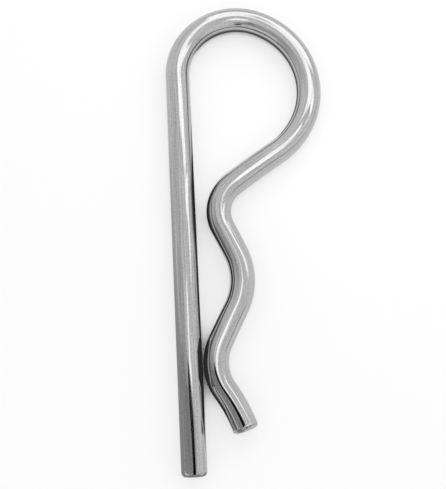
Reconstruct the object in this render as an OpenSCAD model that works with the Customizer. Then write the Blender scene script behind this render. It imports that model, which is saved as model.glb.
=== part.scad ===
// Hitch R clip pin: one length of spring wire with a straight leg, an open loop and a waved spring leg.
// Millimetres. The clip lies flat, its bends are level and +Z is up.
// The straight leg runs along Y with the loop at +Y, and the spring leg is at +X beside it.
// Every bend radius is to the middle of the wire.

/* [Wire] */
// Diameter of the spring wire
wire_d = 4; // [3.2:0.1:4.6]
// Size of the rounding on the two cut ends
end_round = 0.7; // [0.3:0.1:0.8]

/* [Straight leg] */
// Length of the straight leg, from its free end to the loop
leg_length = 64.4; // [62:0.2:70]

/* [Loop] */
// Bend radius of the shoulder beside the straight leg
shoulder_r = 9.8; // [8.6:0.1:11]
// Angle that the shoulder turns through
shoulder_turn = 110; // [100:1:120]
// Bend radius of the rest of the loop
loop_r = 13.1; // [12:0.1:14]

/* [Spring leg] */
// Clear gap to the straight leg at the neck below the loop
neck_gap = 1.7; // [1:0.1:2.5]
// Clear gap to the straight leg at the seat that holds the cross pin
seat_gap = 4.9; // [4.4:0.1:6]
// Clear gap to the straight leg at the mouth, where the spring leg comes back to it
mouth_gap = 0.1; // [0.1:0.1:0.8]
// Bend radius of the neck
neck_r = 5.8; // [5:0.1:7]
// Bend radius of the seat
seat_r = 10.2; // [9:0.1:12]
// Bend radius of the mouth
mouth_r = 7.5; // [6:0.1:9]

/* [Runs between the bends] */
// Radius of the slight bow that the runs are left with
run_r = 150; // [120:5:180]
// Length of the run from the loop to the neck
loop_run = 9; // [7:0.1:11]
// Length of the run from the neck to the seat
neck_run = 4.5; // [3:0.1:6]
// Length of the run from the seat to the mouth
seat_run = 5.8; // [4:0.1:7]

/* [Tail] */
// Angle between the straight leg and the start of the tail
tail_slope = 33; // [28:0.5:38]
// Bend radius of the tail, which turns back towards the straight leg's direction
tail_r = 25; // [20:1:40]
// Length of the tail beyond the mouth
tail_length = 6.8; // [5:0.1:8]

/* [Hidden] */
$fn = 96;
steel = [0.66, 0.67, 0.68];
// how far the arc of an end's rim reaches past its corner circle, so that it meets the wire at an angle
rim_reach = 1.1;

wire_r = wire_d / 2;
rim_r = end_round / (1 - sqrt(rim_reach ^ 2 - 1));
loop_run_turn = sweep(loop_run, run_r);
neck_run_turn = sweep(neck_run, run_r);
seat_run_turn = sweep(seat_run, run_r);
tail_turn = sweep(tail_length, tail_r);

// sideways places of the three bends that set the gaps
neck_x = wire_d + neck_gap + neck_r;
seat_x = wire_d + seat_gap - seat_r;
mouth_x = wire_d + mouth_gap + mouth_r;

// loop: the shoulder and the wider bend after it
shoulder_c = [shoulder_r, leg_length];
shoulder_end = 180 - shoulder_turn;
loop_c = shoulder_c + (shoulder_r - loop_r) * dir(shoulder_end);
loop_end = leave(neck_x - loop_c.x, loop_r, neck_r, loop_run_turn, 1);

// neck: the run down to it and its bend towards the straight leg
loop_run_c = loop_c + (loop_r + run_r) * dir(loop_end);
neck_start = loop_end + 180 + loop_run_turn;
neck_c = loop_run_c + (run_r - neck_r) * dir(neck_start);
neck_end = leave(seat_x - neck_c.x, neck_r, seat_r, neck_run_turn, -1) + 360;

// seat: the run down to it and its bend away from the straight leg
neck_run_c = neck_c + (neck_r + run_r) * dir(neck_end);
seat_start = neck_end - 180 - neck_run_turn;
seat_c = neck_run_c + (run_r - seat_r) * dir(seat_start);
seat_end = leave(mouth_x - seat_c.x, seat_r, mouth_r, seat_run_turn, 1);

// mouth: the run down to it and its bend back towards the straight leg
seat_run_c = seat_c + (seat_r + run_r) * dir(seat_end);
mouth_start = seat_end + 180 + seat_run_turn;
mouth_c = seat_run_c + (run_r - mouth_r) * dir(mouth_start);
mouth_end = 180 + tail_slope;

// tail: the flared end that leads a cross pin in
tail_c = mouth_c + (mouth_r + tail_r) * dir(mouth_end);
tail_start = mouth_end - 180;
tail_end = tail_start - tail_turn;
tail_tip = tail_c + tail_r * dir(tail_end);

// box around the clip, whose middle is the origin
box_left = -wire_r;
box_right = loop_c.x + loop_r + wire_r;
box_near = min(0, tail_tip.y - wire_r * sin(tail_end));
box_far = leg_length + shoulder_r + wire_r;

function dir(a) = [cos(a), sin(a)];
function fine(a) = round(a * 1000) / 1000;
function sweep(length, radius) = fine(length / radius * 180 / PI);

// angle at which a bend ends, so that the run after it and the bend after that lie the given way across
function leave(across, r_from, r_to, run_turn, sense) =
    let (
        out = r_from + run_r,
        back = run_r - r_to,
        along = out - back * cos(run_turn),
        aside = back * sin(run_turn)
    )
    fine(atan2(sense * aside, along) - acos(across / norm([along, aside])));

// puts its children at p by a coarse and a fine step, which keeps every digit of the place
module at(p) {
    coarse = [for (v = p) fine(v)];
    translate(coarse) translate(p - coarse) children();
}

// wire bent around a centre, from one angle to another
module bend(centre, radius, from, to) {
    at(centre)
        rotate_extrude(angle = to - from, start = from)
            translate([radius, 0]) circle(r = wire_r);
}

// straight wire that runs from the origin towards -Y
module straight(length) {
    rotate([90, 0, 0]) cylinder(h = length, r = wire_r);
}

// ring that takes the sharp rim off a cut end, with the end's face in the XZ plane and the wire behind it at +Y
module end_trim() {
    rotate([90, 0, 0])
        rotate_extrude()
            translate([wire_r - rim_r, -rim_r])
                difference() {
                    square(2 * rim_r);
                    circle(r = rim_reach * rim_r);
                }
}

module clip_wire() {
    color(steel)
        translate([-(box_left + box_right) / 2, -(box_near + box_far) / 2, wire_r])
            difference() {
                union() {
                    at([0, leg_length]) straight(leg_length);
                    bend(shoulder_c, shoulder_r, 180, shoulder_end);
                    bend(loop_c, loop_r, shoulder_end, loop_end);
                    bend(loop_run_c, run_r, loop_end + 180, neck_start);
                    bend(neck_c, neck_r, neck_start, neck_end);
                    bend(neck_run_c, run_r, neck_end - 180, seat_start);
                    bend(seat_c, seat_r, seat_start, seat_end);
                    bend(seat_run_c, run_r, seat_end + 180, mouth_start);
                    bend(mouth_c, mouth_r, mouth_start, mouth_end);
                    bend(tail_c, tail_r, tail_start, tail_end);
                }
                end_trim();
                at(tail_tip) rotate(tail_end) end_trim();
            }
}

clip_wire();
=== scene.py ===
import math
import bmesh
import bpy
from mathutils import Matrix, Vector


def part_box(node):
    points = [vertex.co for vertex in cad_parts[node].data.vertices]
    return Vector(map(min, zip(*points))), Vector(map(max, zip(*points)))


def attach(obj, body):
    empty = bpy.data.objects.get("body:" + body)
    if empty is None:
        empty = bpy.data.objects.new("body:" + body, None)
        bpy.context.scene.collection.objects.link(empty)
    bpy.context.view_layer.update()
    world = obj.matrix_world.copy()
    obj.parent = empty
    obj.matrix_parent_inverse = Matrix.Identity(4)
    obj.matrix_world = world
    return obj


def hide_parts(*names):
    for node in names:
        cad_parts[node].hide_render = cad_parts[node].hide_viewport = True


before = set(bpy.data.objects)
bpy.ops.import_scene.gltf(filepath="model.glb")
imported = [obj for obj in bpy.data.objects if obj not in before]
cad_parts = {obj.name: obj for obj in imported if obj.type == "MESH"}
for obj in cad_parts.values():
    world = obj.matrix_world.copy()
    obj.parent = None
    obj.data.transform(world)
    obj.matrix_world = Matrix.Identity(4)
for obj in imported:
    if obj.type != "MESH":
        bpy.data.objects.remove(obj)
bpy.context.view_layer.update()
scene = bpy.context.scene
scene.view_settings.view_transform = "Standard"

# Bent wire
# The whole clip is one length of bright drawn spring steel wire, cut square and bent cold around
# pegs: a straight leg, a loop in two radii, and a spring leg with a neck, a seat and a mouth.
MM = 0.001
wire_r = 2.0
wire_d = 2 * wire_r
end_round, end_round_steps = 0.7, 6
leg_length = 64.4
shoulder_r, shoulder_turn = 9.8, 110.0
loop_r = 13.1
neck_gap, seat_gap, mouth_gap = 1.7, 4.9, 0.1
neck_r, seat_r, mouth_r = 5.8, 10.2, 7.5
run_r = 150.0
loop_run, neck_run, seat_run = 9.0, 4.5, 5.8
tail_slope, tail_r, tail_length = 33.0, 25.0, 6.8
wire_sides = 72
facet_slack = 0.002  # keeps the round of the mesh inside the CAD's box
bend_spacing, leg_spacing = 0.45, 1.8
merge_reach = 1e-5


def turn_of(length, radius):
    return math.degrees(length / radius)


def bend_middle(centre, reach, angle):
    return centre + reach * Vector((math.cos(math.radians(angle)), math.sin(math.radians(angle))))


def leaving_angle(across, r_from, r_to, run_turn, sense):
    """Angle at which a bend ends, so that the next bend lies the given way across."""
    out, back = r_from + run_r, run_r - r_to
    along = out - back * math.cos(math.radians(run_turn))
    aside = back * math.sin(math.radians(run_turn))
    lean = math.atan2(sense * aside, along)
    return math.degrees(lean - math.acos(across / math.hypot(along, aside)))


shoulder_c = Vector((shoulder_r, leg_length))
shoulder_end = 180 - shoulder_turn
loop_c = bend_middle(shoulder_c, shoulder_r - loop_r, shoulder_end)
loop_turn = turn_of(loop_run, run_r)
neck_across = wire_d + neck_gap + neck_r - loop_c.x
loop_end = leaving_angle(neck_across, loop_r, neck_r, loop_turn, 1)
loop_run_c = bend_middle(loop_c, loop_r + run_r, loop_end)
neck_start = loop_end + 180 + loop_turn
neck_c = bend_middle(loop_run_c, run_r - neck_r, neck_start)
neck_turn = turn_of(neck_run, run_r)
seat_across = wire_d + seat_gap - seat_r - neck_c.x
neck_end = leaving_angle(seat_across, neck_r, seat_r, neck_turn, -1) + 360
neck_run_c = bend_middle(neck_c, neck_r + run_r, neck_end)
seat_start = neck_end - 180 - neck_turn
seat_c = bend_middle(neck_run_c, run_r - seat_r, seat_start)
seat_turn = turn_of(seat_run, run_r)
mouth_across = wire_d + mouth_gap + mouth_r - seat_c.x
seat_end = leaving_angle(mouth_across, seat_r, mouth_r, seat_turn, 1)
seat_run_c = bend_middle(seat_c, seat_r + run_r, seat_end)
mouth_start = seat_end + 180 + seat_turn
mouth_c = bend_middle(seat_run_c, run_r - mouth_r, mouth_start)
mouth_end = 180 + tail_slope
tail_c = bend_middle(mouth_c, mouth_r + tail_r, mouth_end)
tail_end = mouth_end - 180 - turn_of(tail_length, tail_r)

bends = [
    (shoulder_c, shoulder_r, 180, shoulder_end),
    (loop_c, loop_r, shoulder_end, loop_end),
    (loop_run_c, run_r, loop_end + 180, neck_start),
    (neck_c, neck_r, neck_start, neck_end),
    (neck_run_c, run_r, neck_end - 180, seat_start),
    (seat_c, seat_r, seat_start, seat_end),
    (seat_run_c, run_r, seat_end + 180, mouth_start),
    (mouth_c, mouth_r, mouth_start, mouth_end),
    (tail_c, tail_r, mouth_end - 180, tail_end),
]

bm = bmesh.new()
along_mm = bm.verts.layers.float.new("along_mm")
around = bm.verts.layers.float_vector.new("around")


def note_place(verts, start, length_at, across_at):
    """Keeps on each vertex how far along the wire it is, and which way it faces around it."""
    for v in verts:
        v[along_mm] = start + length_at(v.co)
        v[around] = Vector((across_at(v.co), v.co.z, 0)) / wire_r


def ring_edges(ring):
    """Edges around a ring, in the order of its vertices."""
    return list(dict.fromkeys(e for v in ring for e in v.link_edges if e.other_vert(v) in ring))


def ring_verts(geom):
    return [g for g in geom if isinstance(g, bmesh.types.BMVert)]


# the leg's free end, drawn out along the leg to the loop
bmesh.ops.create_circle(bm, segments=wire_sides, radius=wire_r - facet_slack, cap_ends=False)
bmesh.ops.rotate(bm, verts=bm.verts, matrix=Matrix.Rotation(math.radians(90), 3, "X"))
ring = list(bm.verts)
first_ring = ring
leg_steps = round(leg_length / leg_spacing)
for step in range(leg_steps):
    ring = ring_verts(bmesh.ops.extrude_edge_only(bm, edges=ring_edges(ring))["geom"])
    bmesh.ops.translate(bm, verts=ring, vec=(0, leg_length / leg_steps, 0))
note_place(bm.verts, 0, lambda co: co.y, lambda co: co.x)

# each bend turns the wire's last ring around its peg
wire_so_far = leg_length
for centre, radius, start, end in bends:
    sense = 1 if end > start else -1
    sweep = math.radians(abs(end - start))
    before = set(bm.verts)
    spun = bmesh.ops.spin(
        bm,
        geom=ring + ring_edges(ring),
        cent=(centre.x, centre.y, 0),
        axis=(0, 0, sense),
        angle=sweep,
        steps=max(2, round(sweep * radius / bend_spacing)),
        use_duplicate=False,
    )
    ring = ring_verts(spun["geom_last"])
    middle, first = Vector((centre.x, centre.y, 0)), math.radians(start)

    def swept(co):
        out = co - middle
        return radius * ((sense * (math.atan2(out.y, out.x) - first)) % (2 * math.pi))

    def outward(co):
        return sense * ((co - middle).xy.length - radius)

    note_place([v for v in bm.verts if v not in before], wire_so_far, swept, outward)
    wire_so_far += radius * sweep

# both cut ends are closed, and their rims rounded over
for rim in (first_ring, ring):
    rim_edges = ring_edges(rim)
    bmesh.ops.contextual_create(bm, geom=rim_edges)
    bmesh.ops.bevel(
        bm,
        geom=rim_edges,
        offset=end_round,
        segments=end_round_steps,
        profile=0.5,
        affect="EDGES",
        material=-1,
    )
bmesh.ops.remove_doubles(bm, verts=bm.verts, dist=merge_reach)
bmesh.ops.recalc_face_normals(bm, faces=bm.faces)

cad_low, cad_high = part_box("clip_wire")
bmesh.ops.scale(bm, verts=bm.verts, vec=(MM, MM, MM))
bmesh.ops.translate(
    bm,
    verts=bm.verts,
    vec=(cad_low[0] + wire_r * MM, cad_low[1], cad_low[2] + wire_r * MM),
)
for face in bm.faces:
    face.smooth = True
wire_mesh = bpy.data.meshes.new("bent_wire")
bm.to_mesh(wire_mesh)
bm.free()
bent_wire = bpy.data.objects.new("bent_wire", wire_mesh)
scene.collection.objects.link(bent_wire)

steel = bpy.data.materials.new("bright_drawn_steel")
steel.use_nodes = True
nodes, links = steel.node_tree.nodes, steel.node_tree.links
surface = nodes["Principled BSDF"]
surface.inputs["Metallic"].default_value = 1.0

place_along = nodes.new("ShaderNodeAttribute")
place_along.attribute_name = "along_mm"
place_around = nodes.new("ShaderNodeAttribute")
place_around.attribute_name = "around"
split_around = nodes.new("ShaderNodeSeparateXYZ")
links.new(place_around.outputs["Vector"], split_around.inputs["Vector"])
drawn_place = nodes.new("ShaderNodeCombineXYZ")
links.new(split_around.outputs["X"], drawn_place.inputs["X"])
links.new(split_around.outputs["Y"], drawn_place.inputs["Y"])
links.new(place_along.outputs["Fac"], drawn_place.inputs["Z"])

# long fine lines that the drawing die leaves
lines_around, lines_along, line_detail = 9.0, 0.12, 4.0
stretch = nodes.new("ShaderNodeMapping")
stretch.inputs["Scale"].default_value = (lines_around, lines_around, lines_along)
links.new(drawn_place.outputs["Vector"], stretch.inputs["Vector"])
die_lines = nodes.new("ShaderNodeTexNoise")
die_lines.inputs["Scale"].default_value = 1.0
die_lines.inputs["Detail"].default_value = line_detail
links.new(stretch.outputs["Vector"], die_lines.inputs["Vector"])

# fine pits and specks all over the drawn skin
specks_per_mm, speck_detail, speck_share = 4.5, 2.0, 0.4
speck_place = nodes.new("ShaderNodeMapping")
speck_place.inputs["Scale"].default_value = (wire_r, wire_r, 1.0)
links.new(drawn_place.outputs["Vector"], speck_place.inputs["Vector"])
specks = nodes.new("ShaderNodeTexNoise")
specks.inputs["Scale"].default_value = specks_per_mm
specks.inputs["Detail"].default_value = speck_detail
links.new(speck_place.outputs["Vector"], specks.inputs["Vector"])
skin = nodes.new("ShaderNodeMix")
skin.inputs["Factor"].default_value = speck_share
links.new(die_lines.outputs["Fac"], skin.inputs["A"])
links.new(specks.outputs["Fac"], skin.inputs["B"])

# the lines and specks are a little darker and smoother where the skin is low
tone = nodes.new("ShaderNodeValToRGB")
steel_tones = ((0.36, 0.37), (0.64, 0.55))
for stop, (height, grey) in zip(tone.color_ramp.elements, steel_tones):
    stop.position = height
    stop.color = (grey, grey, grey, 1)
links.new(skin.outputs["Result"], tone.inputs["Fac"])
links.new(tone.outputs["Color"], surface.inputs["Base Color"])

skin_low, skin_high = 0.3, 0.7
smoothest, dullest = 0.05, 0.16
polish = nodes.new("ShaderNodeMapRange")
polish.inputs["From Min"].default_value = skin_low
polish.inputs["From Max"].default_value = skin_high
polish.inputs["To Min"].default_value = smoothest
polish.inputs["To Max"].default_value = dullest
links.new(skin.outputs["Result"], polish.inputs["Value"])
links.new(polish.outputs["Result"], surface.inputs["Roughness"])

bump_strength, bump_depth = 0.1, 0.02 * MM
bump = nodes.new("ShaderNodeBump")
bump.inputs["Strength"].default_value = bump_strength
bump.inputs["Distance"].default_value = bump_depth
links.new(skin.outputs["Result"], bump.inputs["Height"])
links.new(bump.outputs["Normal"], surface.inputs["Normal"])
wire_mesh.materials.append(steel)

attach(bent_wire, "root")
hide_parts("clip_wire")

# Floor
# A plain sheet of white board that the clip lies on, lit through from below as on a photo table,
# so that it stays white around the clip and keeps a shadow where the clip closes it in.
floor_reach = 2.0
board_grey, board_roughness = 0.9, 0.9
glow_share = 0.6
closed_at, open_at = 0.2, 0.4
floor_mesh = bpy.data.meshes.new("floor")
bm = bmesh.new()
bmesh.ops.create_grid(bm, x_segments=1, y_segments=1, size=floor_reach)
bm.to_mesh(floor_mesh)
bm.free()
floor = bpy.data.objects.new("floor", floor_mesh)
scene.collection.objects.link(floor)
white_board = bpy.data.materials.new("white_board")
white_board.use_nodes = True
nodes, links = white_board.node_tree.nodes, white_board.node_tree.links
board = nodes["Principled BSDF"]
board.inputs["Base Color"].default_value = (board_grey, board_grey, board_grey, 1)
board.inputs["Roughness"].default_value = board_roughness
board.inputs["Specular IOR Level"].default_value = 0.0
glow = nodes.new("ShaderNodeEmission")
glow.inputs["Color"].default_value = (1, 1, 1, 1)
glow.inputs["Strength"].default_value = 1.0
ray = nodes.new("ShaderNodeLightPath")
seen = nodes.new("ShaderNodeMath")
seen.operation = "ADD"
links.new(ray.outputs["Is Camera Ray"], seen.inputs[0])
links.new(ray.outputs["Is Glossy Ray"], seen.inputs[1])
seen_through = nodes.new("ShaderNodeMath")
seen_through.operation = "ADD"
links.new(seen.outputs["Value"], seen_through.inputs[0])
links.new(ray.outputs["Is Transmission Ray"], seen_through.inputs[1])
share = nodes.new("ShaderNodeMath")
share.operation = "MULTIPLY"
links.new(seen_through.outputs["Value"], share.inputs[0])
closed_in = nodes.new("ShaderNodeAmbientOcclusion")
closed_in.inputs["Distance"].default_value = wire_d * MM
open_share = nodes.new("ShaderNodeMapRange")
open_share.inputs["From Min"].default_value = closed_at
open_share.inputs["From Max"].default_value = open_at
open_share.inputs["To Min"].default_value = 0.0
open_share.inputs["To Max"].default_value = glow_share
links.new(closed_in.outputs["AO"], open_share.inputs["Value"])
links.new(open_share.outputs["Result"], share.inputs[1])
lit_board = nodes.new("ShaderNodeMixShader")
links.new(share.outputs["Value"], lit_board.inputs["Fac"])
links.new(board.outputs["BSDF"], lit_board.inputs[1])
links.new(glow.outputs["Emission"], lit_board.inputs[2])
links.new(lit_board.outputs["Shader"], nodes["Material Output"].inputs["Surface"])
floor_mesh.materials.append(white_board)

# Camera
# It stands over the lower end of the clip, close to it, and looks a little towards the loop. It is
# turned by a few degrees, so that the straight leg leans in the picture.
photo_h = 489
px_per_mm = 6.265
camera_distance = 120 * MM
nearest_seen = 5 * MM
camera_tilt = math.radians(12)
camera_turn = math.radians(-3)
looks_at = Vector((-4.77, -2.8, 2.0)) * MM
camera = bpy.data.objects.new("camera", bpy.data.cameras.new("camera"))
scene.collection.objects.link(camera)
camera.data.sensor_fit = "VERTICAL"
camera.data.lens = camera.data.sensor_height * px_per_mm * camera_distance / MM / photo_h
camera.data.clip_start = nearest_seen
camera.rotation_euler = (camera_tilt, 0, camera_turn)
turned = Matrix.Rotation(camera_turn, 3, "Z") @ Matrix.Rotation(camera_tilt, 3, "X")
camera.location = looks_at + turned @ Vector((0, 0, camera_distance))
scene.camera = camera

# Studio
# An even white surround and white panels over the clip light it. Dark and grey flags, some far
# over it and some beside the wire or on the floor, are seen only in the wire's gloss, where they
# draw its edges. The dark flags between the two legs and on the floor inside the loop are painted
# shade: they put dark sheets where the clip's own shadow falls, so that the gloss shows that
# shade.
surround_level, panel_level = 0.97, 2.0
panel_height, flag_height, low_panel_height = 120.0, 60.0, 19.0
floor_lift = 0.1
world = bpy.data.worlds.new("surround")
scene.world = world
world.use_nodes = True
surround = world.node_tree.nodes["Background"]
surround.inputs["Color"].default_value = (1, 1, 1, 1)
surround.inputs["Strength"].default_value = surround_level

card = bpy.data.materials.new("card")
card.use_nodes = True
nodes, links = card.node_tree.nodes, card.node_tree.links
nodes.remove(nodes["Principled BSDF"])
card_level = nodes.new("ShaderNodeAttribute")
card_level.attribute_name = "level"
card_face = nodes.new("ShaderNodeEmission")
card_face.inputs["Color"].default_value = (1, 1, 1, 1)
links.new(card_level.outputs["Fac"], card_face.inputs["Strength"])
links.new(card_face.outputs["Emission"], nodes["Material Output"].inputs["Surface"])
camera_side = Matrix.Rotation(camera_turn, 3, "Z")


def hang(name, rows):
    """Card of one outline, or of strips between lines of places, with a level for each line."""
    mesh = bpy.data.meshes.new(name)
    bm = bmesh.new()
    level_at = bm.verts.layers.float.new("level")
    lines = []
    for row, level in rows:
        line = [bm.verts.new(corner) for corner in row]
        for v in line:
            v[level_at] = level
        lines.append(line)
    if len(lines) == 1:
        bm.faces.new(lines[0])
    for low, high in zip(lines, lines[1:]):
        for k in range(len(low) - 1):
            bm.faces.new((low[k], low[k + 1], high[k + 1], high[k]))
    bm.to_mesh(mesh)
    bm.free()
    hung = bpy.data.objects.new(name, mesh)
    scene.collection.objects.link(hung)
    mesh.materials.append(card)
    hung.visible_camera = False
    return hung


def overhead(outline, height=panel_height):
    """Places over the clip, from millimetres right and loopwards of the view's middle."""
    over = Vector((looks_at.x, looks_at.y, height * MM))
    return [over + camera_side @ Vector((x, y, 0)) * MM for x, y in outline]


def panel(name, outline, level=panel_level, height=panel_height):
    hang(name, [(overhead(outline, height), level)])


def flag(name, rows):
    hung = hang(name, rows)
    hung.visible_diffuse = False
    hung.visible_shadow = False


def skirt(name, line, heights, level):
    """Strip that hangs straight down along a line over the clip."""
    flag(name, [(overhead(line, height), level) for height in heights])


def places(line):
    return [Vector(place) * MM for place in line]


def on_floor(line):
    return places([(x, y, floor_lift) for x, y in line])


# panels over the clip, and a low one over the run between the loop and the neck
panel("loop_panel", ((-6, 86), (3.5, 86), (27.6, 167), (27.6, 241), (-52, 241)))
far_panel = (
    (10, 92), (56, 104), (141, 137), (220, 165), (220, 260), (27.6, 241), (27.6, 167), (36, 130),
)
panel("far_panel", far_panel)
right_panel = (
    (-4, 68), (21, 64), (76, 56), (98, 44), (116, 26), (126, 30), (128, 48), (160, 22),
    (174, 50), (140, 80), (93, 94), (56, 100), (16, 91), (-4, 91),
)
panel("right_panel", right_panel)
middle_panel = ((-13, 14), (14, 14), (14, -8), (34, -15), (30, -19), (2, -18.5), (-13, -15))
panel("middle_panel", middle_panel)
run_front = ((3, 10.5), (7.5, 9.3), (13, 11.8))
run_back = ((3.3, 15.5), (8.5, 20.5), (16.5, 25), (20, 21.5))
panel("run_panel", run_front + run_back[::-1], panel_level, low_panel_height)
run_skirt_drop = 10
skirt("run_skirt", run_back, (low_panel_height, low_panel_height - run_skirt_drop), surround_level)

# flags far over the clip, with skirts that hide the two darkest from the loop
black, dark_grey, mid_grey, light_grey = 0.0, 0.4, 0.5, 0.6
skirt_gap = 0.5
dark_flag = (
    (-23, -14), (-4, -19), (9, -27), (14, -45), (17, -140),
    (-17, -140), (-12, -45), (-14, -32), (-23, -23),
)
flag("dark_flag", [(overhead(dark_flag, flag_height), black)])
skirt("dark_skirt", dark_flag[:4], (flag_height - skirt_gap, 34), mid_grey)
left_flag = (
    (-28, -22), (-60, -12), (-300, -5), (-1500, -5),
    (-1500, -250), (-300, -130), (-120, -110), (-24, -80),
)
flag("left_flag", [(overhead(left_flag), dark_grey)])
skirt("left_skirt", left_flag[:3], (panel_height - skirt_gap, 42), light_grey)
veil = (
    (((-60, -12), (-1500, -5)), light_grey),
    (((-65, 35), (-1500, 120)), 0.75),
    (((-70, 95), (-1500, 500)), 0.9),
)
flag("left_veil", [(overhead(line), level) for line, level in veil])
front_near = ((-230, -60), (-120, -105), (0, -125), (120, -130), (700, -120))
front_far = ((-250, -100), (-130, -160), (0, -190), (120, -200), (700, -200))
flag("front_edge", [(overhead(line), dark_grey) for line in (front_near, front_far)])

# flags on edge between the two legs, painted shade: black at the foot and fading upwards, they
# stand in the wire's gloss for the shadow in the pocket and at the mouth; places (x, y, height),
# and how much of the height is black
near_black = 0.05
pocket_shade_fin = (
    (-8.05, 22, 0.2), (-8.05, 13, 2.4), (-8.05, 7, 3.9), (-8.05, 1, 3.9),
    (-8.05, -5, 3.1), (-8.05, -12, 3.1), (-8.6, -17.5, 3.3),
)
tail_shade_fin = ((-8.6, -25.5, 3.9), (-7.5, -29.5, 3.4), (-6.5, -34.5, 0.2))
mouth = ((-8.6, -17.5, 3.1), (-8.836, -19.5, 3.8), (-8.836, -23.5, 3.8), (-8.6, -25.5, 3.1))
shade_fins = (("pocket_shade_fin", pocket_shade_fin, 0.7), ("tail_shade_fin", tail_shade_fin, 0.7), ("mouth", mouth, 0.9))
for name, feet, black_share in shade_fins:
    fade = ((0.0, black), (black_share, near_black), (1.0, surround_level))
    rows = []
    for part, level in fade:
        line = [(x, y, floor_lift + part * height) for x, y, height in feet]
        rows.append((places(line), level))
    flag(name, rows)

# flag on edge just over the straight leg: how far along it, and how high there
leg_x, crest_foot, crest_level = -10.89, 4.05, 0.15
crest = ((26, 0.3), (14, 0.9), (0, 1.5), (-37, 1.7))
crest_rows = [[(leg_x, y, crest_foot + part * rise) for y, rise in crest] for part in (0, 1)]
flag("crest", [(places(row), crest_level) for row in crest_rows])

# flags on the floor: left of the straight leg, beyond its tip, and inside the loop
left_near, left_far, wall_x, wall_height = -14, -150, -160, 40
left_fade = ((-60, 0.45), (-20, 0.45), (10, 0.75), (30, surround_level))
left_rows = []
for y, level in left_fade:
    wall_top = places([(wall_x, y, wall_height)])
    left_rows.append((wall_top + on_floor(((left_far, y), (left_near, y))), level))
flag("left_floor", left_rows)
tip_left, tip_right, tip_level = -24, -2, 0.42
tip_rows = ((-38.6, floor_lift), (-48, floor_lift), (-50, 14.0))
tip_lines = [places([(tip_left, y, z), (tip_right, y, z)]) for y, z in tip_rows]
flag("tip_floor", [(line, tip_level) for line in tip_lines])
# painted shadow: a dark rim on the floor along the inside of the loop, darkest next to the wire
# and seen only in its gloss
eye_c = loop_c + Vector(cad_low[:2]) / MM + Vector((wire_r, 0))
eye_turns = range(-40, 130, 10)
eye_shadow_fade = ((0.2, 0.08), (2.2, 0.2), (4.5, surround_level))
eye_rows = []
for inside, level in eye_shadow_fade:
    reach = loop_r - wire_r - inside
    line = [bend_middle(eye_c, reach, turn) for turn in eye_turns]
    eye_rows.append((on_floor(line), level))
flag("eye_floor_shadow", eye_rows)
